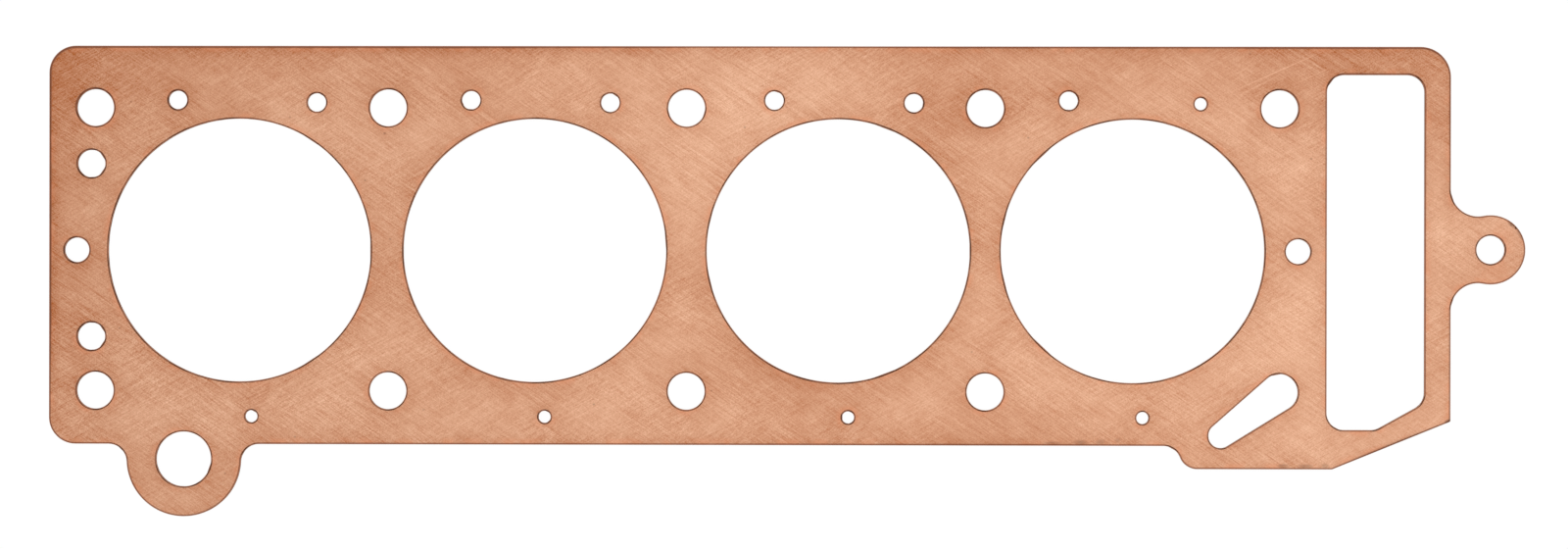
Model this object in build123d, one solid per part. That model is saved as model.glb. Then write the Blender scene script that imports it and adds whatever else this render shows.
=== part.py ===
from build123d import *
import os
from math import acos, atan2, cos, pi, radians, sin, sqrt

# Head gasket for an in-line four-cylinder engine: one flat sheet of soft copper, punched to shape.
#
# Frame, in millimetres: the origin is on the sheet's lower face, on the line through the cylinder
# centres, midway between cylinders 2 and 3. +X runs along that line to the timing end, +Z points
# from the engine block to the cylinder head. Cylinder 1 is at the plain end, cylinder 4 next to the
# timing chest. "Upper" and "lower" below mean +Y and -Y.

# Sheet
sheet_thickness = 1.1
edge_break = 0.1                # bevel that the punch and deburring leave round every upper edge

# Cylinder openings
bore_opening = 94.0
end_bridge = 11.05              # sheet left between cylinders 1 and 2 and between 3 and 4
middle_bridge = 14.5            # sheet left between cylinders 2 and 3
first_opening_shift = 0.7       # the first opening is cut this much nearer the plain end

# Head bolts, in two rows of five: one bolt at each end and one between each pair of cylinders
bolt_hole = 13.15
upper_bolt_row = 50.95          # from the cylinder line
lower_bolt_row = 50.25
end_bolt_offset = 52.4          # from the centre of the end cylinder

# Tapered oil slot, which runs from the lower bolt hole at the timing end
slot_reach = 26.0               # between the centres of its round ends
slot_slope = 36.6               # degrees below the line of the bolt row
slot_small_end = 8.75

# Coolant holes above each cylinder and metering holes below it
coolant_hole = 6.55
coolant_before = 22.85          # from the cylinder centre, towards the plain end
coolant_before_row = 53.7       # from the cylinder line
coolant_after = 26.95           # from the cylinder centre, towards the timing end
coolant_after_row = 52.85
metering_hole = 4.3
last_metering_after = 24.2      # cylinder 4 has a metering hole for its second coolant hole
last_metering_row = 52.6
lower_metering_after = 3.6
lower_metering_row = 59.45

# Round holes at the two ends
end_port = 8.75                 # one on the cylinder line at each end
end_port_gap = 12.0             # from the opening's edge to the port's centre
drain_hole = 9.8                # a pair at the plain end
drain_offset = 53.8             # from the centre of cylinder 1
drain_row = 30.9                # above and below the cylinder line

# Outer edge
plain_rail = 10.0               # from the centre of the end port to the plain end
upper_edge = 73.05              # from the cylinder line
lower_margin = 9.95             # from the lower metering holes to the lower edge
upper_plain_corner = 9.6        # corner radii
lower_plain_corner = 9.5
upper_timing_corner = 10.8

# Apron: the timing end hangs lower than the rest, behind an S-bend of two equal arcs
apron_start = 11.05             # from the centre of cylinder 4
apron_drop = 8.25
apron_bend = 6.5                # radius of each arc
apron_slant_run = 42.1          # the apron's outer corner is cut off at a slant
apron_slant_rise = 17.15

# Lobe on the lower edge, with the large coolant hole
lobe_offset = 20.65             # from the centre of cylinder 1, towards the plain end
lobe_drop = 5.4                 # its centre below the lower edge
lobe_radius = 20.5
lobe_blend = 6.5
lobe_hole = 19.6

# Ear on the timing end, with the hole of the small outer bolt
ear_reach = 14.2                # its centre beyond the timing end
ear_height = 0.75               # above the cylinder line
ear_radius = 12.35
ear_blend = 9.8
ear_hole = 10.05

# Window over the timing chest, framed by rails
window_margin = 10.2            # from the centre of the end port to the window
window_width = 34.75
upper_rail = 10.05
lower_rail = 14.05
outer_rail = 9.35
window_corner = 6.2
window_slant_run = 17.35        # its lower outer corner is cut off at a slant
window_slant_rise = 9.65

# Places worked out from the sizes above
inner_x = (bore_opening + middle_bridge) / 2
outer_x = inner_x + bore_opening + end_bridge
cylinder_x = [-outer_x, -inner_x, inner_x, outer_x]
between_x = [-(inner_x + outer_x) / 2, 0.0, (inner_x + outer_x) / 2]
end_bolt_x = outer_x + end_bolt_offset
end_port_x = outer_x + bore_opening / 2 + end_port_gap
plain_end = end_port_x + plain_rail
window_inner = end_port_x + window_margin
window_outer = window_inner + window_width
timing_end = window_outer + outer_rail
lower_edge = lower_metering_row + lower_margin
apron_edge = lower_edge + apron_drop
lobe_centre = Vector(-outer_x - lobe_offset, -lower_edge - lobe_drop)
ear_centre = Vector(timing_end + ear_reach, ear_height)


def polar(centre, radius, angle):
    """The point at a radius and an angle, in radians, from a centre."""
    return Vector(centre.X + radius * cos(angle), centre.Y + radius * sin(angle))


def boss_outline(centre, radius, blend, back_to_edge, outward):
    """Draw a round boss on a straight edge, blends included. Returns where it starts and ends.

    outward is the angle at which the boss stands out, and back_to_edge the distance from its centre
    back to the edge. A blend is tangent to both, so its centre lies one blend radius beyond the edge
    and both radii together from the boss's centre.
    """
    lean = acos((blend - back_to_edge) / (radius + blend))
    sides = []
    for side in (-1, 1):
        blend_centre = polar(centre, radius + blend, outward + side * lean)
        on_edge = polar(blend_centre, blend, outward + pi)
        half_way = polar(blend_centre, blend, outward + pi + side * lean / 2)
        on_boss = polar(centre, radius, outward + side * lean)
        ThreePointArc(on_edge, half_way, on_boss)
        sides.append((on_edge, on_boss))
    (start, boss_start), (end, boss_end) = sides
    ThreePointArc(boss_start, polar(centre, radius, outward), boss_end)
    return start, end


def outer_outline():
    """The sheet's outer edge as a face."""
    bend_start = Vector(outer_x + apron_start, -lower_edge)
    # two arcs of radius r that drop by h between them run along by the root of h (4 r - h)
    bend_run = sqrt(apron_drop * (4 * apron_bend - apron_drop))
    bend_end = bend_start + Vector(bend_run, -apron_drop)
    bend_middle = (bend_start + bend_end) / 2
    slant_start = (timing_end - apron_slant_run, -apron_edge)
    slant_end = (timing_end, -apron_edge + apron_slant_rise)
    with BuildSketch() as outline:
        with BuildLine():
            lobe_start, lobe_end = boss_outline(lobe_centre, lobe_radius, lobe_blend, lobe_drop, -pi / 2)
            Line(lobe_end, bend_start)
            TangentArc(bend_start, bend_middle, tangent=(1, 0))
            TangentArc(bend_end, bend_middle, tangent=(-1, 0))
            ear_start, ear_end = boss_outline(ear_centre, ear_radius, ear_blend, ear_reach, 0)
            Polyline(bend_end, slant_start, slant_end, ear_start)
            FilletPolyline(
                ear_end,
                (timing_end, upper_edge),
                (-plain_end, upper_edge),
                (-plain_end, -lower_edge),
                lobe_start,
                radius=[upper_timing_corner, upper_plain_corner, lower_plain_corner],
            )
        make_face()
    return outline.sketch


def tapered_slot(big_centre, big_radius, small_centre, small_radius):
    """A slot with round ends of two sizes, whose sides are tangent to both."""
    run = small_centre - big_centre
    along = atan2(run.Y, run.X)
    # the radius at which a side leaves each end, measured from the slot's own direction
    lean = acos((big_radius - small_radius) / run.length)
    with BuildSketch() as slot:
        with BuildLine():
            big_1, big_2 = (polar(big_centre, big_radius, along + side * lean) for side in (1, -1))
            small_1, small_2 = (polar(small_centre, small_radius, along + side * lean) for side in (1, -1))
            Line(big_1, small_1)
            ThreePointArc(small_1, polar(small_centre, small_radius, along), small_2)
            Line(small_2, big_2)
            ThreePointArc(big_2, polar(big_centre, big_radius, along + pi), big_1)
        make_face()
    return slot.sketch


def timing_window():
    """The opening over the timing chest, with its lower outer corner cut off at a slant."""
    top = upper_edge - upper_rail
    bottom = -apron_edge + lower_rail
    with BuildSketch() as window:
        with BuildLine():
            FilletPolyline(
                (window_outer, top),
                (window_inner, top),
                (window_inner, bottom),
                (window_outer - window_slant_run, bottom),
                (window_outer, bottom + window_slant_rise),
                radius=window_corner,
                close=True,
            )
        make_face()
    return window.sketch


def hole(x, y, diameter):
    with Locations((x, y)):
        Circle(diameter / 2)


def round_holes():
    """All the round holes of the sheet."""
    first_x, last_x = cylinder_x[0], cylinder_x[-1]
    with BuildSketch() as holes:
        hole(first_x - first_opening_shift, 0, bore_opening)
        for x in cylinder_x[1:]:
            hole(x, 0, bore_opening)
        for x in cylinder_x:
            hole(x - coolant_before, coolant_before_row, coolant_hole)
            hole(x + lower_metering_after, -lower_metering_row, metering_hole)
        for x in cylinder_x[:-1]:
            hole(x + coolant_after, coolant_after_row, coolant_hole)
        hole(last_x + last_metering_after, last_metering_row, metering_hole)

        for x in (-end_bolt_x, *between_x):
            hole(x, upper_bolt_row, bolt_hole)
            hole(x, -lower_bolt_row, bolt_hole)
        # the tenth bolt goes through the big end of the tapered slot
        hole(end_bolt_x, upper_bolt_row, bolt_hole)

        for side in (-1, 1):
            hole(side * end_port_x, 0, end_port)
            hole(-outer_x - drain_offset, side * drain_row, drain_hole)
        hole(lobe_centre.X, lobe_centre.Y, lobe_hole)
        hole(ear_centre.X, ear_centre.Y, ear_hole)
    return holes.sketch


def gasket_sheet():
    """The whole gasket: the outline less its openings, with every upper edge lightly broken."""
    big_end = Vector(end_bolt_x, -lower_bolt_row)
    small_end = polar(big_end, slot_reach, pi + radians(slot_slope))
    slot = tapered_slot(big_end, bolt_hole / 2, small_end, slot_small_end / 2)
    face = outer_outline() - round_holes() - slot - timing_window()
    sheet = extrude(face, amount=sheet_thickness)
    upper_rims = sheet.faces().sort_by(Axis.Z)[-1].edges()
    return chamfer(upper_rims, edge_break)


os.makedirs("parts", exist_ok=True)
sheet = gasket_sheet()
export_step(sheet, "parts/gasket_sheet.step")
print("gasket sheet:", round(sheet.volume), "mm3,", sheet.bounding_box())
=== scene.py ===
# %% [markdown]
# # A copper head gasket
#
# A head gasket seals the joint between an engine's block and its cylinder head. This one is a
# single sheet of soft copper for four cylinders in line, cut to shape and brushed on both faces.
# A plain extrusion of its outline has knife-sharp edges and no wear. The sheet here is built again
# over the CAD part, to the same sizes, with the rolled edge that cutting leaves, and with a net of
# points on each face that knows how far it is from the nearest edge, because copper darkens there,
# and the shade of the rolled edge is painted there too.

# %% Load the CAD part
from math import pi, radians, sqrt

import bpy
import numpy as np
from mathutils.geometry import delaunay_2d_cdt
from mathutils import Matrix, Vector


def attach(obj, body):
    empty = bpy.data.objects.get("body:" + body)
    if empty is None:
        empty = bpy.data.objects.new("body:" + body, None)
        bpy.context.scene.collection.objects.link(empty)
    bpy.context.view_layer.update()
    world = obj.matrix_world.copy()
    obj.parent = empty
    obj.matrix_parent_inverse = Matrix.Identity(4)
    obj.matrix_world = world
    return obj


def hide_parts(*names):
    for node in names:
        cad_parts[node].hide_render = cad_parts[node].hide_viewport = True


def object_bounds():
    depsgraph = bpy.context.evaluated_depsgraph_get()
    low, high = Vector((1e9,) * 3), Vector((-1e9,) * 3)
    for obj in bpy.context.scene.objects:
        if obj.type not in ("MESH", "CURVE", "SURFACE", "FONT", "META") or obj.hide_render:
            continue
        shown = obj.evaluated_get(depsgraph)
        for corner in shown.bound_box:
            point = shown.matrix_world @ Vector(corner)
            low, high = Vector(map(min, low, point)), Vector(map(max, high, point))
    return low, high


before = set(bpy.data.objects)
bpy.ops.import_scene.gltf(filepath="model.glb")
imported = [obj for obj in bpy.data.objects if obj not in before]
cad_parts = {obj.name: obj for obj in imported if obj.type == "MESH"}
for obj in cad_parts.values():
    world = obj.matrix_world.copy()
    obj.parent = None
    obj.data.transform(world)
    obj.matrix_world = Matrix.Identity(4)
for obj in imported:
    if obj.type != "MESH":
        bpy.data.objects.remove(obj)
cad_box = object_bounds()
MM = 0.001                      # the sizes below are in millimetres, Blender's in metres
thickness = (cad_box[1].z - cad_box[0].z) / MM
print("CAD box, mm:", [round(v / MM, 2) for corner in cad_box for v in corner])

# %% [markdown]
# ## The sizes
#
# The new sheet could be cut out of the CAD part's mesh, but that mesh is made for checks: its round
# edges are coarse and its faces have long thin triangles. So the outline is drawn again from the
# CAD part's own sizes, and lies within two hundredths of a millimetre of it. Only the two corners
# of the slant differ, which handling has blunted to a radius of half a millimetre. The origin is
# on the line through the cylinders, midway between cylinders 2 and 3. Lengths run outwards from
# each cylinder, which keeps the holes together if a size is changed.

# %% Sizes, in millimetres: openings and holes are diameters, corners and blends are radii
bore_opening, first_opening_shift = 94.0, 0.7
end_bridge, middle_bridge = 11.05, 14.5
bolt_hole, upper_bolt_row, lower_bolt_row, end_bolt_offset = 13.15, 50.95, 50.25, 52.4
slot_reach, slot_slope, slot_small_end = 26.0, radians(36.6), 8.75
coolant_hole, coolant_before, coolant_before_row = 6.55, 22.85, 53.7
coolant_after, coolant_after_row = 26.95, 52.85
metering_hole, last_metering_after, last_metering_row = 4.3, 24.2, 52.6
lower_metering_after, lower_metering_row = 3.6, 59.45
end_port, end_port_gap = 8.75, 12.0
drain_hole, drain_offset, drain_row = 9.8, 53.8, 30.9
plain_rail, upper_edge, lower_margin = 10.0, 73.05, 9.95
upper_plain_corner, lower_plain_corner, upper_timing_corner = 9.6, 9.5, 10.8
apron_start, apron_drop, apron_bend = 11.05, 8.25, 6.5
apron_slant_run, apron_slant_rise, apron_corner = 42.1, 17.15, 0.5
lobe_offset, lobe_drop, lobe_radius, lobe_blend, lobe_hole = 20.65, 5.4, 20.5, 6.5, 19.6
ear_reach, ear_height, ear_radius, ear_blend, ear_hole = 14.2, 0.75, 12.35, 9.8, 10.05
window_margin, window_width, window_corner = 10.2, 34.75, 6.2
upper_rail, lower_rail, outer_rail = 10.05, 14.05, 9.35
window_slant_run, window_slant_rise = 17.35, 9.65

inner_x = (bore_opening + middle_bridge) / 2
outer_x = inner_x + bore_opening + end_bridge
cylinder_x = np.array([-outer_x, -inner_x, inner_x, outer_x])
between_x = np.array([-(inner_x + outer_x) / 2, 0.0, (inner_x + outer_x) / 2])
end_bolt_x = outer_x + end_bolt_offset
end_port_x = outer_x + bore_opening / 2 + end_port_gap
plain_end = end_port_x + plain_rail
window_inner = end_port_x + window_margin
window_outer = window_inner + window_width
timing_end = window_outer + outer_rail
lower_edge = lower_metering_row + lower_margin
apron_edge = lower_edge + apron_drop
print("cylinders at x =", cylinder_x, "mm; ends at", -plain_end, "and", timing_end)

# %% [markdown]
# ## An outline is a belt round pulleys
#
# The edge of a cut sheet is straight runs and round corners, each run tangent to the next corner.
# It could be traced point by point, or drawn as a curve with handles. Here it is what a belt does
# when it is stretched round pulleys: a corner is a pulley inside the belt, a hollow is a pulley
# that presses on it from outside, and a round hole is a belt round one pulley. One function then
# makes every outline of the part, and each point comes with its exact outward direction.

# %% Where a belt touches its pulleys


def contacts(centre, radius):
    """The outward direction where the belt reaches each pulley, and how far round it lies on it.

    A straight run touches two pulleys, whose centres are L apart, at the same outward direction n.
    It is square to n, so along n the second centre lies r1 - r2 further out than the first, and n
    points acos((r1 - r2) / L) to the right of the line from centre to centre.
    """
    if len(radius) == 1:
        return np.zeros(1), np.full(1, 2 * pi)
    to_next = np.roll(centre, -1, axis=0) - centre
    # two pulleys that just touch give exactly 1 or -1, which rounding may pass
    lean = np.arccos(np.clip((radius - np.roll(radius, -1)) / np.hypot(*to_next.T), -1, 1))
    leave = np.arctan2(to_next[:, 1], to_next[:, 0]) - lean
    arrive = np.roll(leave, 1)
    sweep = (leave - arrive) % (2 * pi)
    sweep[radius < 0] -= 2 * pi
    return arrive, sweep


print("a belt lies on each of two equal pulleys for",
      np.degrees(contacts(np.array([(0, 0), (30, 0)]), np.array([5, 5]))[1]), "degrees")

# %% The belt
STRAIGHT, ROUND = 2.4, 1.2                  # longest steps on straight and round stretches, in mm
FEWEST, FEWEST_ON_CORNER = 64, 3            # fewest steps in a full circle, and on any pulley
SAME_POINT = 1e-6                           # points that are nearer than this, in mm, are one


def belt(pulleys):
    """The points of a belt that runs anticlockwise round pulleys (x, y, radius), and the outward
    direction at each. A radius below zero is a pulley that presses on the belt from outside.
    """
    pulleys = np.atleast_2d(np.asarray(pulleys, float))
    centre, radius = pulleys[:, :2], pulleys[:, 2]
    arrive, sweep = contacts(centre, radius)
    angles, points = [], []
    for i, r in enumerate(radius):
        by_length, by_angle = abs(sweep[i] * r) / ROUND, abs(sweep[i]) / (2 * pi) * FEWEST
        steps = int(np.ceil(max(by_length, by_angle, FEWEST_ON_CORNER)))
        angle = arrive[i] + sweep[i] * np.linspace(0, 1, steps + 1)
        angles.append(angle)
        points.append(centre[i] + r * np.column_stack([np.cos(angle), np.sin(angle)]))
    if len(pulleys) == 1:
        # a full circle ends on its first point, which is kept once
        angle, point = angles[0][:-1], points[0][:-1]
        return point, np.column_stack([np.cos(angle), np.sin(angle)])
    for i in range(len(pulleys)):
        start, end = points[i][-1], points[(i + 1) % len(pulleys)][0]
        steps = int(np.ceil(np.hypot(*(end - start)) / STRAIGHT))
        along = np.linspace(0, 1, steps + 1)[1:-1, None]
        points[i] = np.vstack([points[i], start + along * (end - start)])
        angles[i] = np.append(angles[i], np.full(len(along), angles[i][-1]))
    angle, point = np.concatenate(angles), np.vstack(points)
    # pulleys that touch share a point, which is kept once
    apart = np.hypot(*(point - np.roll(point, 1, axis=0)).T) > SAME_POINT
    return point[apart], np.column_stack([np.cos(angle), np.sin(angle)])[apart]


print("a bolt hole has", len(belt((0, 0, bolt_hole / 2))[0]), "points")

# %% Corners and bosses


def corner(before, at, after, radius):
    """The pulley that rounds the corner at a point between two straight edges.

    Its centre is square to both edges by one radius, which puts it at
    corner + radius (left1 + left2) / (1 + left1 . left2), with each edge's direction to its left.
    """
    before, at, after = map(np.array, (before, at, after))
    runs = np.array([at - before, after - at], float)
    runs /= np.hypot(*runs.T)[:, None]
    left = np.column_stack([-runs[:, 1], runs[:, 0]])
    return (*(at + radius * left.sum(0) / (1 + left[0] @ left[1])), radius)


def boss(centre, radius, blend, back_to_edge, outward):
    """The three pulleys of a round boss on a straight edge: a blend, the boss and a blend.

    A blend touches both, so its centre is one blend radius beyond the edge and both radii
    together from the boss's centre, which Pythagoras turns into a distance along the edge.
    """
    centre, outward = np.array(centre, float), np.array(outward, float)
    along = np.array([-outward[1], outward[0]])
    beyond = blend - back_to_edge
    aside = sqrt((radius + blend) ** 2 - beyond ** 2)
    first, last = (centre + beyond * outward + side * aside * along for side in (-1, 1))
    return (*first, -blend), (*centre, radius), (*last, -blend)


blend_x = boss((0, 0), lobe_radius, lobe_blend, lobe_drop, (0, -1))[2][0]
print("the lobe's blends stand", round(blend_x, 2), "mm to each side of it")

# %% [markdown]
# ## Every edge of the sheet
#
# The outer edge is one belt of thirteen pulleys. The window over the timing chest is a belt of five,
# the tapered slot a belt of two, and the other thirty-one openings are single circles. They could be
# cut out of a plate with Boolean modifiers, which leave the triangles to chance. As rings of points
# they can be moved in, moved down and joined in any way. Each opening is walked the other way
# round, so that the metal is always on the left and the outward direction always points away from it.

# %% The outer edge
lobe = np.array([-outer_x - lobe_offset, -lower_edge - lobe_drop])
ear = np.array([timing_end + ear_reach, ear_height])
# two arcs of one radius r that drop by h between them run along by the root of h (4 r - h)
bend_run = sqrt(apron_drop * (4 * apron_bend - apron_drop))
bend_x = outer_x + apron_start
slant_start = (timing_end - apron_slant_run, -apron_edge)
slant_end = (timing_end, -apron_edge + apron_slant_rise)
outer_pulleys = [
    corner((-plain_end, 0), (-plain_end, -lower_edge), (0, -lower_edge), lower_plain_corner),
    *boss(lobe, lobe_radius, lobe_blend, lobe_drop, (0, -1)),
    (bend_x, -lower_edge - apron_bend, -apron_bend),
    (bend_x + bend_run, -apron_edge + apron_bend, apron_bend),
    corner((0, -apron_edge), slant_start, slant_end, apron_corner),
    corner(slant_start, slant_end, (timing_end, 0), apron_corner),
    *boss(ear, ear_radius, ear_blend, ear_reach, (1, 0)),
    corner((timing_end, 0), (timing_end, upper_edge), (0, upper_edge), upper_timing_corner),
    corner((0, upper_edge), (-plain_end, upper_edge), (-plain_end, 0), upper_plain_corner),
]
print("outer edge:", len(outer_pulleys), "pulleys")

# %% The window and the tapered slot
window_top, window_bottom = upper_edge - upper_rail, -apron_edge + lower_rail
window_points = [
    (window_outer, window_top),
    (window_inner, window_top),
    (window_inner, window_bottom),
    (window_outer - window_slant_run, window_bottom),
    (window_outer, window_bottom + window_slant_rise),
]
window_pulleys = [
    corner(window_points[i - 1], at, window_points[(i + 1) % len(window_points)], window_corner)
    for i, at in enumerate(window_points)
]

big_end = np.array([end_bolt_x, -lower_bolt_row])
small_end = big_end - slot_reach * np.array([np.cos(slot_slope), np.sin(slot_slope)])
slot_pulleys = [(*big_end, bolt_hole / 2), (*small_end, slot_small_end / 2)]
print("window:", len(window_pulleys), "pulleys; slot:", len(slot_pulleys))

# %% Round openings: centre x and y, and diameter
circles = [(x, 0, bore_opening) for x in (cylinder_x[0] - first_opening_shift, *cylinder_x[1:])]
circles += [(x - coolant_before, coolant_before_row, coolant_hole) for x in cylinder_x]
circles += [(x + coolant_after, coolant_after_row, coolant_hole) for x in cylinder_x[:-1]]
circles += [(x + lower_metering_after, -lower_metering_row, metering_hole) for x in cylinder_x]
circles += [(outer_x + last_metering_after, last_metering_row, metering_hole)]
circles += [(x, upper_bolt_row, bolt_hole) for x in (-end_bolt_x, *between_x, end_bolt_x)]
circles += [(x, -lower_bolt_row, bolt_hole) for x in (-end_bolt_x, *between_x)]
circles += [(side * end_port_x, 0, end_port) for side in (-1, 1)]
circles += [(-outer_x - drain_offset, side * drain_row, drain_hole) for side in (-1, 1)]
circles += [(*lobe, lobe_hole), (*ear, ear_hole)]
print("round openings:", len(circles))

# %% All edges as rings of points
rims = [belt(outer_pulleys)]
for pulleys in (window_pulleys, slot_pulleys, *[(x, y, size / 2) for x, y, size in circles]):
    points, away = belt(pulleys)
    rims.append((points[::-1], -away[::-1]))
rim_points = np.vstack([points for points, _ in rims])
rim_away = np.vstack([away for _, away in rims])
rim_of = np.repeat(np.arange(len(rims)), [len(points) for points, _ in rims])
# the point after each one, which for a rim's last point is its first
rim_next = np.arange(len(rim_points)) + 1
first_of_rim = np.searchsorted(rim_of, np.arange(len(rims)))
rim_next[np.append(first_of_rim[1:], len(rim_points)) - 1] = first_of_rim
print(len(rims), "edges,", len(rim_points), "points round them")

# %% [markdown]
# ## Check the edges against the CAD part
#
# The CAD part's lower face has no bevel, so its corners lie on the true edges. Looking at both
# models from above would find a hole that is out of place, but not one that is a little too
# small, so the distances are measured. The distance from a point to an edge is the least of its
# distances to that edge's short runs: the nearest place on a run from a to b is a + t (b - a), with
# t held between 0 and 1. It counts as negative off the metal, which is to the right of every run.
# The same distance is needed again on the faces, where it says how far a spot of copper is from air.

# %% Distance to the nearest edge


def distance_to_rims(points):
    """For each point, the distance in mm to the nearest edge of the sheet, below zero off the metal."""
    nearest = np.full(len(points), np.inf)
    everyone = np.arange(len(points))
    for outline, _ in rims:
        run = np.roll(outline, -1, axis=0) - outline
        x, y = (points[:, None, i] - outline[:, i] for i in range(2))
        t = np.clip((x * run[:, 0] + y * run[:, 1]) / (run ** 2).sum(1), 0, 1)
        gap = np.hypot(x - t * run[:, 0], y - t * run[:, 1])
        closest = gap.argmin(1)
        to_left = (run[:, 0] * y - run[:, 1] * x)[everyone, closest]
        distance = np.copysign(gap[everyone, closest], to_left)
        nearest = np.where(np.abs(distance) < np.abs(nearest), distance, nearest)
    return nearest


print("from the middle of the sheet to the nearest edge, mm:", distance_to_rims(np.zeros((1, 2))).round(2))

# %% Compare with the corners of the CAD part's lower face
ON_LOWER_FACE, CLOSE = 0.01, 0.02           # heights below the first, and gaps below the second, in mm
cad_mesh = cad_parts["gasket_sheet"].data
cad_points = np.empty(len(cad_mesh.vertices) * 3, np.float32)
cad_mesh.vertices.foreach_get("co", cad_points)
cad_points = cad_points.reshape(-1, 3) / MM
on_lower_rim = np.unique(np.round(cad_points[cad_points[:, 2] < ON_LOWER_FACE, :2], 4), axis=0)
gaps = np.abs(distance_to_rims(on_lower_rim))
print("CAD corners:", len(on_lower_rim), "further than", CLOSE, "mm from the new edges:",
      on_lower_rim[gaps > CLOSE].astype(float).round(1).tolist(), "largest gap, mm:", gaps.max().round(3))

# %% [markdown]
# ## The cut edge
#
# A cutter that shears soft copper drags its upper edge over into a small radius, polishes the top of
# the wall, and leaves the bottom of the wall slightly broken away. Bevel could round the edge, but
# it can't tell those zones apart. Instead the edge's section is carried along every rim: each row of
# the section is the whole rim, moved in by one distance and up by another.

# %% Section of the edge, from the upper face down the wall to the lower face
# distance in from the edge, height above the lower face, and the number kept for the material:
# distance from the edge on the faces, and depth below the upper face, as a negative number, on the wall
section = np.array([
    (0.44, thickness, 0.44),
    (0.20, thickness, 0.20),
    (0.12, thickness - 0.010, 0.12),
    (0.06, thickness - 0.035, 0.06),
    (0.02, thickness - 0.085, 0.0),
    (0.00, thickness - 0.150, -0.15),
    (0.00, thickness - 0.480, -0.48),
    (0.00, 0.100, 0.10 - thickness),
    (0.02, 0.030, 0.03 - thickness),
    (0.08, 0.000, 0.08),
])
inset, height, kept = section.T
lip_width, lip_depth = inset[height == thickness].min(), thickness - height[inset == 0].max()
print(len(section), "rows; the lip is", lip_width, "mm wide and", lip_depth.round(3), "mm deep")

# %% Carry the section along every rim
rows, border = len(section), len(rim_points)
ring = np.empty((rows, border, 3))
ring[..., :2] = rim_points - inset[:, None, None] * rim_away
ring[..., 2] = height[:, None]
edge_points = ring.reshape(-1, 3)
edge_numbers = np.repeat(kept, border)

# one quad for each step down the section and each step round a rim, facing away from the metal
row, here = np.meshgrid(np.arange(rows - 1), np.arange(border), indexing="ij")
top, bottom = row * border, (row + 1) * border
wall_quads = np.stack([bottom + here, bottom + rim_next[here], top + rim_next[here], top + here], -1)
wall_quads = wall_quads.reshape(-1, 4)
print("cut edge:", len(edge_points), "points,", len(wall_quads), "quads")

# %% [markdown]
# ## The two flat faces
#
# A flat face needs few points for its shape, but a number that is kept on its points, such as the
# distance to the edge, is only as fine as they are. A single many-sided face would keep none of it.
# So rings of points follow every edge, close together beside it and further apart further in, and a
# honeycomb fills the rest. Where rings of two edges meet, the points that have come too near to the
# other edge are left out. Delaunay's net then joins them all into well-shaped triangles and keeps
# the edges as they are.

# %% Points inside the outline
ring_distances = (0.95, 2.0, 4.0, 7.5)      # mm in from the edge
cell = 5.2                                  # mm from one point of the honeycomb to the next
TOO_NEAR = 0.97                             # of its own ring's distance, to any other edge
inside = []
for n, distance in enumerate(ring_distances):
    # the first two rings take every point of the edge, the third every second, the last every third
    candidates = (rim_points - distance * rim_away)[:: max(n, 1)]
    inside.append(candidates[distance_to_rims(candidates) > TOO_NEAR * distance])
x, y = np.meshgrid(np.arange(-plain_end, ear[0] + ear_radius, cell),
                   np.arange(lobe[1] - lobe_radius, upper_edge, cell * sqrt(3) / 2))
x[1::2] += cell / 2
honeycomb = np.column_stack([x.ravel(), y.ravel()])
inside.append(honeycomb[distance_to_rims(honeycomb) > ring_distances[-1] + cell / 2])
print("points inside, ring by ring and honeycomb:", [len(points) for points in inside])
inside = np.vstack(inside)
inside_distance = distance_to_rims(inside)

# %% A net over each face
TRIANGLES = 1                               # the kind of net that is asked for
FLAT = 1e-9                                 # mm2, twice the area of a triangle that is only a line


def face_net(around):
    """Triangles, facing up, that fill a face from the points around it to the points inside.

    The net also spans the openings and the hollows of the outer edge. Those triangles have all
    three corners on one edge, and their middles lie off the metal, so they are left out.
    """
    points = np.vstack([around, inside])
    edges = np.column_stack([np.arange(border), rim_next])
    found = delaunay_2d_cdt(
        [tuple(point) for point in points], edges.tolist(), [], TRIANGLES, SAME_POINT, False)
    assert len(found[0]) == len(points), "two points of the net fell together"
    triangles = np.array(found[2])
    rim = np.append(rim_of, np.arange(len(inside)) + len(rims))[triangles]
    on_one_rim = np.flatnonzero((rim[:, 0] == rim[:, 1]) & (rim[:, 1] == rim[:, 2]))
    middle = points[triangles[on_one_rim]].mean(1)
    triangles = np.delete(triangles, on_one_rim[distance_to_rims(middle) < 0], axis=0)
    a, b, c = (points[triangles[:, i]] for i in range(3))
    turn = (b - a)[:, 0] * (c - a)[:, 1] - (b - a)[:, 1] * (c - a)[:, 0]
    triangles[turn < 0] = triangles[turn < 0][:, ::-1]
    return triangles[np.abs(turn) > FLAT]


upper_net = face_net(ring[0, :, :2])
lower_net = face_net(ring[-1, :, :2])
print("upper face:", len(upper_net), "triangles, lower face:", len(lower_net))

# %% [markdown]
# ## One mesh
#
# Three meshes laid against each other would leave hairline gaps, and shading that breaks along
# them. The rings, the two faces and the wall share their points instead, so the sheet is one closed
# skin, as the metal is. The number from the section goes with it as the attribute edge_mm.

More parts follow.
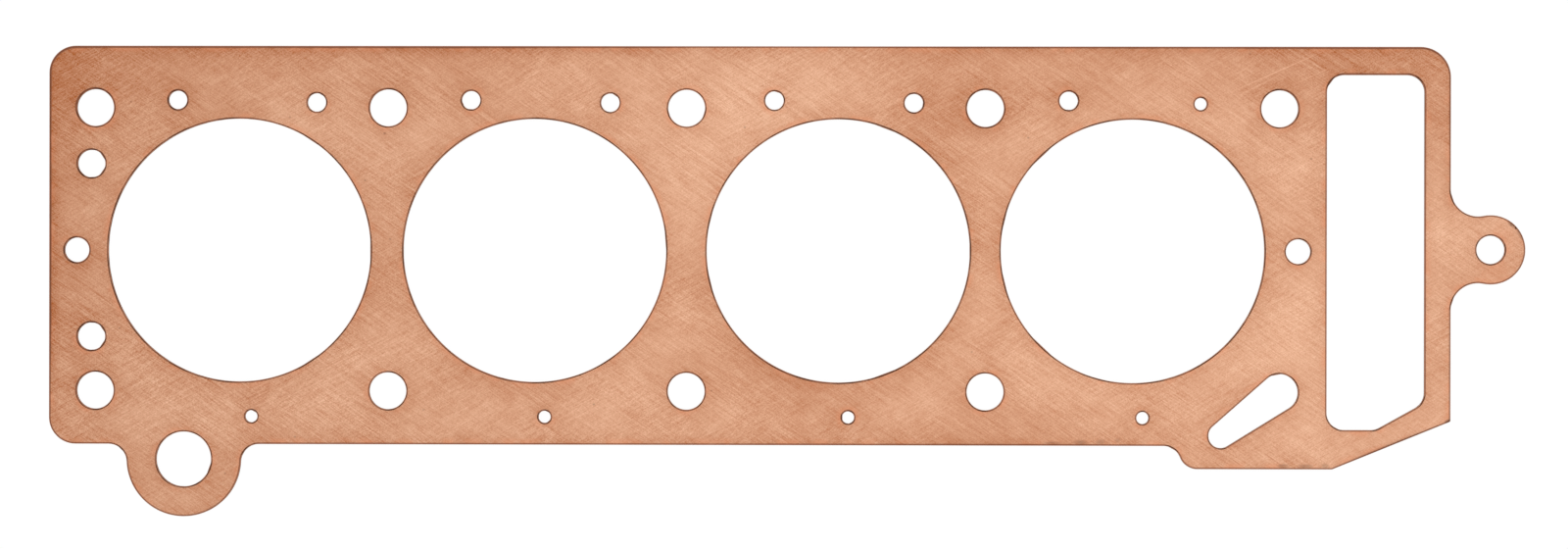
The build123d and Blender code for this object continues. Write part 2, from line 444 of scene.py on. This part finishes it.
# %% Join the faces and the wall
upper_start = len(edge_points)              # where the upper face's inside points start
lower_start = upper_start + len(inside)
upper_inside = np.column_stack([inside, np.full(len(inside), thickness)])
lower_inside = np.column_stack([inside, np.zeros(len(inside))])
sheet_points = np.vstack([edge_points, upper_inside, lower_inside]) * MM
edge_mm = np.concatenate([edge_numbers, inside_distance, inside_distance])
upper_faces = np.where(upper_net < border, upper_net, upper_net - border + upper_start)
last_row = (rows - 1) * border
lower_faces = np.where(lower_net < border, lower_net + last_row, lower_net - border + lower_start)
sheet_faces = [*wall_quads.tolist(), *upper_faces.tolist(), *lower_faces[:, ::-1].tolist()]
triangle_count = len(wall_quads) * 2 + len(upper_net) + len(lower_net)
print("copper sheet:", len(sheet_points), "points,", triangle_count, "triangles")

# %% The mesh and its object
sheet_mesh = bpy.data.meshes.new("copper_sheet")
sheet_mesh.from_pydata(sheet_points.tolist(), [], sheet_faces)
sheet_mesh.attributes.new("edge_mm", "FLOAT", "POINT").data.foreach_set("value", edge_mm)
sheet_mesh.shade_smooth()
sheet_mesh.update()
assert not sheet_mesh.validate(), "the mesh had faults"
copper_sheet = bpy.data.objects.new("copper_sheet", sheet_mesh)
bpy.context.scene.collection.objects.link(copper_sheet)
print("edge_mm runs from", edge_mm.min().round(2), "to", edge_mm.max().round(2))

# %% [markdown]
# ## Colour
#
# Clean copper sends back nearly all of the red light, over half of the green and over a third of the
# blue. A thin brown oxide takes more from the blue than from the red, so copper darkens along one
# line, from a pale salmon to a deep orange brown. A ramp with a stop for each shade would do it, but
# two ends are enough here. The material keeps one number for the place between them, the polish: 1
# is freshly brushed, and 0.2 or less is well tarnished. Edges, darker and brighter places and clouds
# of tarnish all add to or take from the polish, and the colour is read from it at the end. The darker
# and brighter places are partly tarnish and partly painted shade and light across the sheet, and the
# broadest clouds partly painted changes of reflection, so the polish carries those too.

# %% Helpers for materials
# settings that many nodes share
SMOOTH = {"interpolation_type": "SMOOTHSTEP"}
TEXTURE = {"vector_type": "TEXTURE"}
COLOURS = {"data_type": "RGBA"}


def srgb(text, alpha=1.0):
    """A colour written as sRGB hex, as the linear numbers that a shader wants."""
    value = np.array([int(text[i:i + 2], 16) for i in (1, 3, 5)]) / 255
    linear = np.where(value <= 0.04045, value / 12.92, ((value + 0.055) / 1.055) ** 2.4)
    return (*linear.tolist(), alpha)


def add(tree, kind, settings=None, links=None):
    """Adds a node, sets it up, and gives each named socket a value or a link. Returns the node.

    A Mix node has sockets of one name for each kind of data, so they go by number: 0 is the share
    of the second input, 2 and 3 are two numbers, and 6 and 7 are two colours. Its output 0 is the
    mixed number and its output 2 the mixed colour.
    """
    node = tree.nodes.new(kind)
    for name, value in (settings or {}).items():
        setattr(node, name, value)
    for name, value in (links or {}).items():
        if isinstance(value, bpy.types.NodeSocket):
            tree.links.new(value, node.inputs[name])
        else:
            node.inputs[name].default_value = value
    return node


print("middle grey in linear light:", round(srgb("#808080")[0], 3))

# %% Soft copper, rolled into sheet and brushed by hand
# to the eye it is a warm metal with a satin gleam, fine bright strokes and brown clouds of tarnish
copper = bpy.data.materials.new("brushed_soft_copper")
copper.use_nodes = True
tree = copper.node_tree
tree.nodes.clear()
place = add(tree, "ShaderNodeTexCoord").outputs["Object"]
edge = add(tree, "ShaderNodeAttribute", {"attribute_name": "edge_mm"}).outputs["Fac"]
print("copper starts with", len(tree.nodes), "nodes")

# %% [markdown]
# ## Brushing and mottling
#
# Both faces were rubbed with an abrasive pad, mostly down to the right and in places back across
# it. Each scratch is a few hundredths of a millimetre wide, too fine to show, but scratches come in
# bundles that catch the light together, and those are drawn, as a painted glint in the colour and as
# a bump: about 0.4 mm wide and 6 to 18 mm long. Handling then leaves softer clouds of tarnish, from
# 2 to 50 mm across, and the broadest of them also carry painted changes of reflection, such as a
# slightly wavy sheet shows. A picture of brushed metal could give all this, but it repeats, and it
# blurs when seen from near. Noise does neither.
# All of these are one kind of noise: a Mapping node of the Texture kind moves it, turns it and then
# divides by its size.

# %% Noises: angle in degrees, length and width in mm, detail
noises = {
    "stroke": (-34, 9.0, 0.37, 0.0),
    "long_stroke": (-31, 18.0, 0.38, 0.0),
    "steep_stroke": (-38, 7.0, 0.35, 0.0),
    "back_stroke": (27, 8.5, 0.37, 0.0),
    "steep_back_stroke": (50, 6.5, 0.35, 0.0),
    "streak": (-33, 36.0, 2.2, 1.0),
    "grit": (0, 0.42, 0.42, 0.0),
    "rubbed": (0, 30.0, 24.0, 1.0),
    "pressure": (-35, 46.0, 22.0, 1.0),
    "fine_cloud": (0, 2.4, 2.4, 2.0),
    "cloud": (0, 9.0, 9.0, 2.0),
    "broad_cloud": (20, 48.0, 34.0, 2.0),
    "heat": (0, 7.0, 7.0, 1.0),
    "score": (0, 0.30, 0.30, 2.0),
}
NOISE_DEPTH = 4.0               # mm: longer than the wall of the cut, so the scores run down it
NOISE_STEP = (0.317, 0.171)     # m from one noise's place to the next, so that no two look alike
BREAK_UP = 0.6                  # how strong each finer layer of a noise is against the one before
noise = {}
for name, (angle, length, width, detail) in noises.items():
    at = add(tree, "ShaderNodeMapping", TEXTURE, {
        "Vector": place,
        "Location": (len(noise) * NOISE_STEP[0], len(noise) * NOISE_STEP[1], 0),
        "Rotation": (0, 0, radians(angle)),
        "Scale": (length * MM, width * MM, NOISE_DEPTH * MM),
    }).outputs[0]
    noise[name] = add(tree, "ShaderNodeTexNoise", None, {
        "Vector": at, "Scale": 1.0, "Detail": detail, "Roughness": BREAK_UP,
    }).outputs["Fac"]
print("noises:", len(noise))

# %% [markdown]
# ## Sums of noises
#
# Each noise stays around one half, so a sum of them with weights stays around half the weights,
# and that half is taken off again. The two directions of brushing could simply be added, but a pad
# leaves only its last strokes clearly. So they are summed apart, and a broad noise then says which
# of them was rubbed last at each spot.

# %% Sums of noises
weights = {
    "down": {"stroke": 0.62, "long_stroke": 0.30, "steep_stroke": 0.38, "back_stroke": 0.32, "grit": 0.80},
    "across": {"back_stroke": 0.60, "steep_back_stroke": 0.36, "stroke": 0.46, "grit": 0.80},
    # the broadest clouds are partly painted changes of reflection, not only tarnish
    "clouds_and_reflections": {"streak": 0.05, "fine_cloud": 0.09, "cloud": 0.18, "broad_cloud": 0.33},
}
sums = {}
for group, members in weights.items():
    total = -sum(members.values()) / 2
    for name, weight in members.items():
        total = add(tree, "ShaderNodeMath", {"operation": "MULTIPLY_ADD"}, {
            0: noise[name], 1: weight, 2: total}).outputs[0]
    sums[group] = total
last_rubbed = add(tree, "ShaderNodeMapRange", SMOOTH, {
    "Value": noise["rubbed"], "From Min": 0.42, "From Max": 0.62}).outputs[0]
strokes = add(tree, "ShaderNodeMix", None, {
    0: last_rubbed, 2: sums["down"], 3: sums["across"]}).outputs[0]
print("sums:", {group: len(members) for group, members in weights.items()})

# %% [markdown]
# ## Places
#
# A pad that pressed harder here, a hand that held the sheet there and a stain are each in one place.
# They could be painted on, which a change of size would misplace. Here each is an ellipse in its
# own moved, turned and scaled coordinates, where the distance from the centre is 0 there and 1 on
# its outline.

# %% An ellipse on the sheet
THROUGH = 2000.0                # mm, a depth far beyond the sheet's own


def ellipse(x, y, length, width, angle=0.0, height=0.0, depth=THROUGH):
    """How far a spot is from an ellipse's centre, as a share of the way to its outline.

    Sizes are in mm and the angle is in degrees. It goes through the whole sheet, unless a depth
    makes it an ellipsoid round its height above the lower face.
    """
    at = add(tree, "ShaderNodeMapping", TEXTURE, {
        "Vector": place,
        "Location": (x * MM, y * MM, height * MM),
        "Rotation": (0, 0, radians(angle)),
        "Scale": (length / 2 * MM, width / 2 * MM, depth / 2 * MM),
    }).outputs[0]
    return add(tree, "ShaderNodeVectorMath", {"operation": "LENGTH"}, {0: at}).outputs["Value"]


# the pad pressed hardest below the first cylinder: centre x and y, length and width, in mm
HARDEST_PLACE = (-170, -50, 480, 260)
from_hardest = ellipse(*HARDEST_PLACE)
print("pressed hardest round, mm:", HARDEST_PLACE[:2])

# %% How hard the pad pressed
hardest = add(tree, "ShaderNodeMapRange", SMOOTH, {
    "Value": from_hardest, "To Min": 1.22, "To Max": 0.95}).outputs[0]
# and it pressed unevenly all over
uneven = add(tree, "ShaderNodeMapRange", SMOOTH, {
    "Value": noise["pressure"],
    "From Min": 0.35, "From Max": 0.65, "To Min": 0.75, "To Max": 1.05}).outputs[0]
pressure = add(tree, "ShaderNodeMath", {"operation": "MULTIPLY"}, {0: hardest, 1: uneven}).outputs[0]
brushing = add(tree, "ShaderNodeMath", {"operation": "MULTIPLY"}, {0: strokes, 1: pressure}).outputs[0]
print("copper, with its brushing:", len(tree.nodes), "nodes")

# %% [markdown]
# ## Edges and handled places
# Within about a centimetre of an edge the sheet is darker, where hands and the cutter's oil reach
# it. The plain end is darker all over and the timing end brighter, and some patches are darker and
# some brighter: partly tarnish, and partly painted shade and light across the sheet. The plain end, where
# it was held, is darker all over, and the timing end was rubbed brighter.
# The distance to the edge, kept on the mesh, gives the first, and ellipses give the rest: the effect
# of each falls off smoothly to nothing at its outline.

# %% Polish by the distance from the edge
# distance from the edge in mm, and the polish there
edge_polish = [(0, 0.59), (1.2, 0.61), (2.2, 0.63), (3.5, 0.65), (5.7, 0.68), (9, 0.71), (16, 0.73)]
furthest = edge_polish[-1][0]
from_edge = add(tree, "ShaderNodeMath", {"operation": "DIVIDE"}, {0: edge, 1: furthest}).outputs[0]
ramp = add(tree, "ShaderNodeValToRGB", None, {"Fac": from_edge})
stops = ramp.color_ramp.elements
for i, (distance, value) in enumerate(edge_polish):
    # a new ramp has two stops already
    stop = stops[i] if i < 2 else stops.new(1.0)
    stop.position, stop.color = distance / furthest, (value, value, value, 1)
polish_and_shading = add(tree, "ShaderNodeMath", {"operation": "ADD"}, {
    0: ramp.outputs["Color"], 1: sums["clouds_and_reflections"]}).outputs[0]
print("polish stops:", len(stops))

# %% Places of tarnish and painted shade
# centre x and y, length along x and along y, all in mm, and what it adds to the polish
shaded_and_tarnished_places = [
    (-plain_end, upper_edge, 480, 130, -0.17),
    (-plain_end, 12, 64, 230, -0.18),
    (timing_end, upper_edge, 240, 90, -0.18),
    (108, upper_edge, 190, 84, -0.12),
    (-42, upper_edge, 90, 60, -0.09),
    (232, -30, 240, 170, 0.08),
    (timing_end, -5, 110, 150, 0.04),
    (-4, 39, 180, 120, 0.10),
    (-144, 42, 100, 60, 0.13),
    (178, 42, 80, 60, 0.04),
    (32, -40, 90, 60, -0.08),
    (122, -62, 90, 44, -0.11),
    (-110, -64, 200, 44, 0.05),
    (-112, 15, 50, 80, -0.05),
    # thin bands along the outer edges
    (-plain_end, 0, 10, 170, -0.12),
    (-90, upper_edge, 360, 10, -0.12),
    (180, upper_edge, 300, 9, -0.10),
    (0, -lower_edge, 520, 9, -0.05),
    (timing_end, 25, 9, 120, -0.07),
]
# painted shade and light: these places darken and brighten the colour together with the tarnish
for x, y, length, width, amount in shaded_and_tarnished_places:
    effect = add(tree, "ShaderNodeMapRange", SMOOTH, {
        "Value": ellipse(x, y, length, width), "To Min": amount, "To Max": 0.0}).outputs[0]
    polish_and_shading = add(tree, "ShaderNodeMath", {"operation": "ADD"}, {0: polish_and_shading, 1: effect}).outputs[0]
print("handled places:", len(shaded_and_tarnished_places))

# %% Colour of the faces
TARNISHED, CLEAN = srgb("#AF5F2C"), srgb("#F8C5A4")
clean_and_lit = add(tree, "ShaderNodeMapRange", None, {"Value": polish_and_shading, "From Min": 0.2}).outputs[0]
tarnish_and_shade_colour = add(tree, "ShaderNodeMix", COLOURS, {0: clean_and_lit, 6: TARNISHED, 7: CLEAN}).outputs[2]
# painted glint: the strokes are painted lighter and darker into the colour, and a scratch's glint
# is whiter than the copper: it adds or takes nearly as much green and blue as red
GLINT = (0.31, 0.305, 0.24)
face_colour = add(tree, "ShaderNodeVectorMath", {"operation": "MULTIPLY_ADD"}, {
    0: brushing, 1: GLINT, 2: tarnish_and_shade_colour}).outputs[0]
print("copper, with its faces:", len(tree.nodes), "nodes")

# %% [markdown]
# ## Marks of cutting and use
#
# The cut warms the copper beside it to orange, in blotches, and leaves a brown line along the edge
# itself, partly oxide and partly painted shade of the rolled lip. There are also a few marks that are
# in one place only: dirt in a nick of the ear, stains along the lower edges, specks, and a few bright
# scratches, whose brightness is cleaner copper with a painted glint. Decals on small planes could
# carry them, but they would hover over the metal and be missing where the material is used again.
# Each is an ellipse instead, held to the upper face by its depth, and grit breaks up the outline of dirt.

# %% Orange beside the cut
ORANGE = srgb("#E99B74")
beside_cut = add(tree, "ShaderNodeMapRange", SMOOTH, {
    "Value": edge, "From Min": 0.6, "From Max": 3.0, "To Min": 1.0, "To Max": 0.0}).outputs[0]
blotches = add(tree, "ShaderNodeMapRange", SMOOTH, {
    "Value": noise["heat"],
    "From Min": 0.45, "From Max": 0.65, "To Min": 0.0, "To Max": 0.45}).outputs[0]
warmed = add(tree, "ShaderNodeMath", {"operation": "MULTIPLY"}, {0: beside_cut, 1: blotches}).outputs[0]
colour = add(tree, "ShaderNodeMix", COLOURS, {0: warmed, 6: face_colour, 7: ORANGE}).outputs[2]
print("copper, with its orange:", len(tree.nodes), "nodes")

# %% Where the marks are
# centre x and y, length and width in mm, angle in degrees, strength
marks = {
    "dirt": [
        # in and beside the nick of the ear
        (ear[0] + 8.9, ear[1] + 7.8, 1.7, 1.1, -45, 1.0),
        (ear[0] + 7.5, ear[1] + 8.9, 4.5, 1.5, -38, 0.6),
        (ear[0] + 10.4, ear[1] + 5.4, 5.5, 1.6, -62, 0.35),
        # along the apron's edge and the lower edge
        (213, -apron_edge + 1.2, 5.0, 1.8, 0, 0.42),
        (221, -apron_edge + 1.1, 6.5, 1.8, 0, 0.38),
        (228, -apron_edge + 1.3, 3.2, 2.0, 0, 0.30),
        (131, -lower_edge + 0.9, 7.0, 1.5, 0, 0.40),
        (141, -lower_edge + 1.2, 6.0, 2.2, 0, 0.34),
        (148, -lower_edge + 1.4, 4.0, 2.4, 12, 0.26),
        (154, -lower_edge + 2.0, 3.0, 2.0, 30, 0.22),
        # along the slant and at its outer corner
        (timing_end - apron_slant_run / 2, -apron_edge + apron_slant_rise / 2, 42, 2.4, 22, 0.42),
        (timing_end - 0.8, -apron_edge + apron_slant_rise + 0.2, 3.2, 1.6, 18, 0.8),
        # between cylinders 1 and 2
        (-108, 41.8, 1.1, 1.0, 0, 0.55),
    ],
    "scratch_and_glint": [
        (211, 64.3, 38, 0.55, 24, 0.50),
        (204, 59.2, 24, 0.50, 26, 0.32),
        (224, 63.0, 20, 0.50, 24, 0.30),
        (201, -65.8, 7, 0.50, -38, 0.45),
    ],
}
SPECK = (0.95, 0.85, 0, 0.38)   # as above, from its length to its strength
specks = [
    (20.8, 44.1), (222.9, 33.1), (-140, -66.8), (-115, 25), (-106, 4), (102, -36), (-33, -55),
    (-94, -57), (-199, 53), (-142, 47.5), (-165, -80), (9, -50), (122, 40.5), (-203, -28), (201, 70.5),
]
marks["dirt"] += [(x, y, *SPECK) for x, y in specks]
print("marks:", {kind: len(ellipses) for kind, ellipses in marks.items()})

# %% Cover of the marks
# how much of each spot dirt covers, and how much a scratch has cleaned and brightened with painted glint
cover = {}
for kind, ellipses in marks.items():
    cover[kind] = 0.0
    for x, y, length, width, angle, strength in ellipses:
        mark = add(tree, "ShaderNodeMapRange", SMOOTH, {
            "Value": ellipse(x, y, length, width, angle, thickness, thickness),
            "From Min": 0.35, "From Max": 1.15, "To Min": strength, "To Max": 0.0}).outputs[0]
        cover[kind] = add(tree, "ShaderNodeMath", {"operation": "MAXIMUM"}, {
            0: mark, 1: cover[kind]}).outputs[0]
broken = add(tree, "ShaderNodeMapRange", None, {
    "Value": noise["grit"],
    "From Min": 0.35, "From Max": 0.60, "To Min": 0.45, "To Max": 1.0}).outputs[0]
dirt = add(tree, "ShaderNodeMath", {"operation": "MULTIPLY"}, {0: cover["dirt"], 1: broken}).outputs[0]
# painted glint with cleaner copper: bright scratches mix the colour toward clean copper
colour = add(tree, "ShaderNodeMix", COLOURS, {0: cover["scratch_and_glint"], 6: colour, 7: CLEAN}).outputs[2]
print("copper, with its marks:", len(tree.nodes), "nodes")

# %% The brown line along the edge, partly oxide and partly painted shade, and dirt over it
EDGE_BROWN_AND_SHADE, DIRT = srgb("#85543F"), srgb("#4A2A1C")
# the line, partly painted shade, is wider where the copper is darker
narrowing = add(tree, "ShaderNodeMapRange", None, {
    "Value": polish_and_shading, "From Min": 0.35, "From Max": 0.60, "To Min": 0.62, "To Max": 1.0}).outputs[0]
line_place = add(tree, "ShaderNodeMath", {"operation": "MULTIPLY"}, {0: edge, 1: narrowing}).outputs[0]
inner_side = add(tree, "ShaderNodeMapRange", SMOOTH, {
    "Value": line_place, "From Min": 0.30, "From Max": 0.72, "To Min": 1.0, "To Max": 0.0}).outputs[0]
# the rolled lip itself is rubbed half bright
outer_side = add(tree, "ShaderNodeMapRange", SMOOTH, {
    "Value": edge, "From Min": 0.06, "From Max": 0.30, "To Min": 0.35, "To Max": 1.0}).outputs[0]
edge_line_and_shade = add(tree, "ShaderNodeMath", {"operation": "MULTIPLY"}, {
    0: inner_side, 1: outer_side}).outputs[0]
# painted shade: the brown line stands partly for the darker reflection of the rolled edge, which turns
# away from the light
colour = add(tree, "ShaderNodeMix", COLOURS, {0: edge_line_and_shade, 6: colour, 7: EDGE_BROWN_AND_SHADE}).outputs[2]
colour = add(tree, "ShaderNodeMix", COLOURS, {0: dirt, 6: colour, 7: DIRT}).outputs[2]
print("copper, with its edge line:", len(tree.nodes), "nodes")

# %% [markdown]
# ## The wall of the cut
#
# Down the wall the sheared upper part, nearly half of it, is brighter and scored, and the broken
# part below it is dull and dark with oxide. A second material on the wall's faces could do it, with
# a hard line between the two. The attribute is below zero on the wall and gives the depth, so one
# material can pass softly from one to the other.

# %% Wall
WALL_BRIGHT, WALL_DULL = srgb("#8F583B"), srgb("#5E3726")
sheared = add(tree, "ShaderNodeMapRange", SMOOTH, {
    "Value": edge, "From Min": -0.55, "From Max": -0.42}).outputs[0]
bright = add(tree, "ShaderNodeMath", {"operation": "MULTIPLY"}, {0: sheared, 1: noise["score"]}).outputs[0]
wall_colour = add(tree, "ShaderNodeMix", COLOURS, {0: bright, 6: WALL_DULL, 7: WALL_BRIGHT}).outputs[2]
on_wall = add(tree, "ShaderNodeMapRange", SMOOTH, {
    "Value": edge, "From Min": 0.0, "From Max": -0.12}).outputs[0]
colour = add(tree, "ShaderNodeMix", COLOURS, {0: on_wall, 6: colour, 7: wall_colour}).outputs[2]
print("copper, with its wall:", len(tree.nodes), "nodes")

# %% [markdown]
# ## Shine
#
# Copper is a metal, so its colour is in its reflection and it keeps the default IOR. Anisotropy
# could stretch the highlights across the strokes, but it has one direction and these are crossed.
# So the metal is a plain satin: roughness 0.32 where it is clean, up to 0.50 where it is tarnished,
# and 0.55 where it is dirty and on the wall. The strokes that tint it also tilt it, by a bump of a
# few thousandths of a millimetre.

# %% Shader
CLEAN_ROUGHNESS, TARNISHED_ROUGHNESS, DIRTY_ROUGHNESS = 0.32, 0.50, 0.55
BUMP_HEIGHT = 0.006             # mm
roughness = add(tree, "ShaderNodeMapRange", None, {
    "Value": polish_and_shading, "To Min": TARNISHED_ROUGHNESS, "To Max": CLEAN_ROUGHNESS}).outputs[0]
rougher = add(tree, "ShaderNodeMath", {"operation": "MAXIMUM"}, {0: on_wall, 1: dirt}).outputs[0]
roughness = add(tree, "ShaderNodeMix", None, {
    0: rougher, 2: roughness, 3: DIRTY_ROUGHNESS}).outputs[0]
bump = add(tree, "ShaderNodeBump", None, {
    "Height": brushing, "Strength": 0.5, "Distance": BUMP_HEIGHT * MM}).outputs[0]
shader = add(tree, "ShaderNodeBsdfPrincipled", None, {
    "Base Color": colour, "Metallic": 1.0, "Roughness": roughness, "Normal": bump})
add(tree, "ShaderNodeOutputMaterial", None, {"Surface": shader.outputs[0]})
sheet_mesh.materials.append(copper)
print("copper:", len(tree.nodes), "nodes")

# %% The sheet takes the CAD part's place
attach(copper_sheet, "root")
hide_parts("gasket_sheet")
print(copper_sheet.name, "takes the place of", len(cad_mesh.polygons), "faces of the CAD part")

# %% [markdown]
# ## Floor and light
#
# The sheet lies on white paper under a white diffusing cloth, in a white room. Area lamps could
# light it, but a satin metal shows what is above it, and each lamp would be a hard bright square.
# So the light is a glowing cloth: two lamps behind it make two broad bright patches, and the cloth
# over the sheet's plain end is left a little darker. The cloth hangs above the camera, and the
# camera doesn't see it.

# %% Floor


def flat_grid(name, half_x, half_y, z, steps):
    """A level rectangle of points round x = y = 0, facing up, and where its points are, in metres."""
    u, v = np.meshgrid(np.linspace(-half_x, half_x, steps + 1), np.linspace(-half_y, half_y, steps + 1))
    points = np.column_stack([u.ravel(), v.ravel(), np.full(u.size, z)])
    first = (np.arange(steps)[:, None] * (steps + 1) + np.arange(steps)).ravel()
    quads = np.column_stack([first, first + 1, first + steps + 2, first + steps + 1])
    mesh = bpy.data.meshes.new(name)
    mesh.from_pydata(points.tolist(), [], quads.tolist())
    obj = bpy.data.objects.new(name, mesh)
    bpy.context.scene.collection.objects.link(obj)
    return obj, points


FLOOR_DROP = 0.05 * MM                      # below the sheet, so that they don't share a plane
FLOOR_HALF, FLOOR_STEPS = 3.0, 4            # m from its middle to each side, and squares along it
floor, _ = flat_grid("floor", FLOOR_HALF, FLOOR_HALF, -FLOOR_DROP, FLOOR_STEPS)
print("floor:", 2 * FLOOR_HALF, "m square")

# %% White paper


def seen_or_mirrored(tree):
    """1 for what the camera sees directly, in a mirror or through glass, and 0 for light."""
    path = add(tree, "ShaderNodeLightPath").outputs
    either = add(tree, "ShaderNodeMath", {"operation": "MAXIMUM"}, {
        0: path["Is Camera Ray"], 1: path["Is Glossy Ray"]}).outputs[0]
    return add(tree, "ShaderNodeMath", {"operation": "MAXIMUM"}, {
        0: either, 1: path["Is Transmission Ray"]}).outputs[0]


# uncoated, so it has no gleam, and shows only the thin soft shadow of the sheet
WHITE, PAPER_WHITE = srgb("#FFFFFF"), srgb("#F2F2F2")
PAPER_GLOW, PLAIN_SHARE = 1.03, 0.93        # strength of plain white, and its share in what is seen
paper = bpy.data.materials.new("white_paper")
paper.use_nodes = True
tree = paper.node_tree
tree.nodes.clear()
lit = add(tree, "ShaderNodeBsdfDiffuse", None, {"Color": PAPER_WHITE}).outputs[0]
white = add(tree, "ShaderNodeEmission", None, {"Color": WHITE, "Strength": PAPER_GLOW}).outputs[0]
share = add(tree, "ShaderNodeMath", {"operation": "MULTIPLY"}, {
    0: seen_or_mirrored(tree), 1: PLAIN_SHARE}).outputs[0]
add(tree, "ShaderNodeOutputMaterial", None, {
    "Surface": add(tree, "ShaderNodeMixShader", None, {0: share, 1: lit, 2: white}).outputs[0]})
floor.data.materials.append(paper)
print("paper:", len(tree.nodes), "nodes")

# %% Diffusing cloth with two lamps behind it
CLOTH_HEIGHT, CLOTH_HALF_X, CLOTH_HALF_Y = 1.6, 1.6, 1.2    # m
CLOTH_STEPS, CLOTH_GLOW = 48, 0.82          # squares along it, and its strength far from both lamps
# where each lamp stands behind the cloth in m, how far its light spreads, and how much it adds
lamps = [((-0.05, 0.10), 0.32, 0.20), ((0.50, -0.12), 0.34, 0.26)]
cloth, cloth_points = flat_grid("diffusing_cloth", CLOTH_HALF_X, CLOTH_HALF_Y, CLOTH_HEIGHT, CLOTH_STEPS)
glow = np.full(len(cloth_points), CLOTH_GLOW)
for (x, y), spread, strength in lamps:
    away = ((cloth_points[:, 0] - x) ** 2 + (cloth_points[:, 1] - y) ** 2) / spread ** 2
    glow += strength * np.exp(-away / 2)
cloth.data.attributes.new("glow", "FLOAT", "POINT").data.foreach_set("value", glow)
print("cloth glows from", glow.min().round(3), "to", glow.max().round(3))

# %% White diffusing cloth
# close woven, so it glows softly all over and hides the lamps behind it
cloth_material = bpy.data.materials.new("white_diffusing_cloth")
cloth_material.use_nodes = True
tree = cloth_material.node_tree
tree.nodes.clear()
add(tree, "ShaderNodeOutputMaterial", None, {"Surface": add(tree, "ShaderNodeEmission", None, {
    "Color": WHITE,
    "Strength": add(tree, "ShaderNodeAttribute", {"attribute_name": "glow"}).outputs["Fac"],
}).outputs[0]})
cloth.data.materials.append(cloth_material)
cloth.visible_camera = False
print("the camera sees the cloth:", cloth.visible_camera)

# %% White room
ROOM_LIGHT, ROOM_WHITE = 0.9, 1.0           # strength of its light, and of what is seen of it
room = bpy.data.worlds.new("white_room")
bpy.context.scene.world = room
room.use_nodes = True
tree = room.node_tree
tree.nodes.clear()
light = add(tree, "ShaderNodeBackground", None, {"Color": WHITE, "Strength": ROOM_LIGHT}).outputs[0]
wall = add(tree, "ShaderNodeBackground", None, {"Color": WHITE, "Strength": ROOM_WHITE}).outputs[0]
add(tree, "ShaderNodeOutputWorld", None, {"Surface": add(tree, "ShaderNodeMixShader", None, {
    0: seen_or_mirrored(tree), 1: light, 2: wall}).outputs[0]})
bpy.context.scene.view_settings.view_transform = "Standard"
print("view transform:", bpy.context.scene.view_settings.view_transform)

# %% [markdown]
# ## Camera
#
# The sheet is looked at from straight above, with its long side across. A wide lens close to it
# would show the walls of the openings, and an orthographic camera none of them. A long lens from a
# little over a metre shows a thin line of wall towards the two ends.

# %% Camera
camera_data = bpy.data.cameras.new("camera")
camera_data.sensor_width, camera_data.lens = 36.0, 76.0
camera = bpy.data.objects.new("camera", camera_data)
# it stands a little to one side of the sheet's middle, and leans by half a degree to look at it
camera.location = (0.0477, -0.0073, 1.1837)
camera.rotation_euler = (-0.00094, 0.01082, 0.00163)
bpy.context.scene.collection.objects.link(camera)
bpy.context.scene.camera = camera
print("camera height, m:", round(camera.location.z, 3))
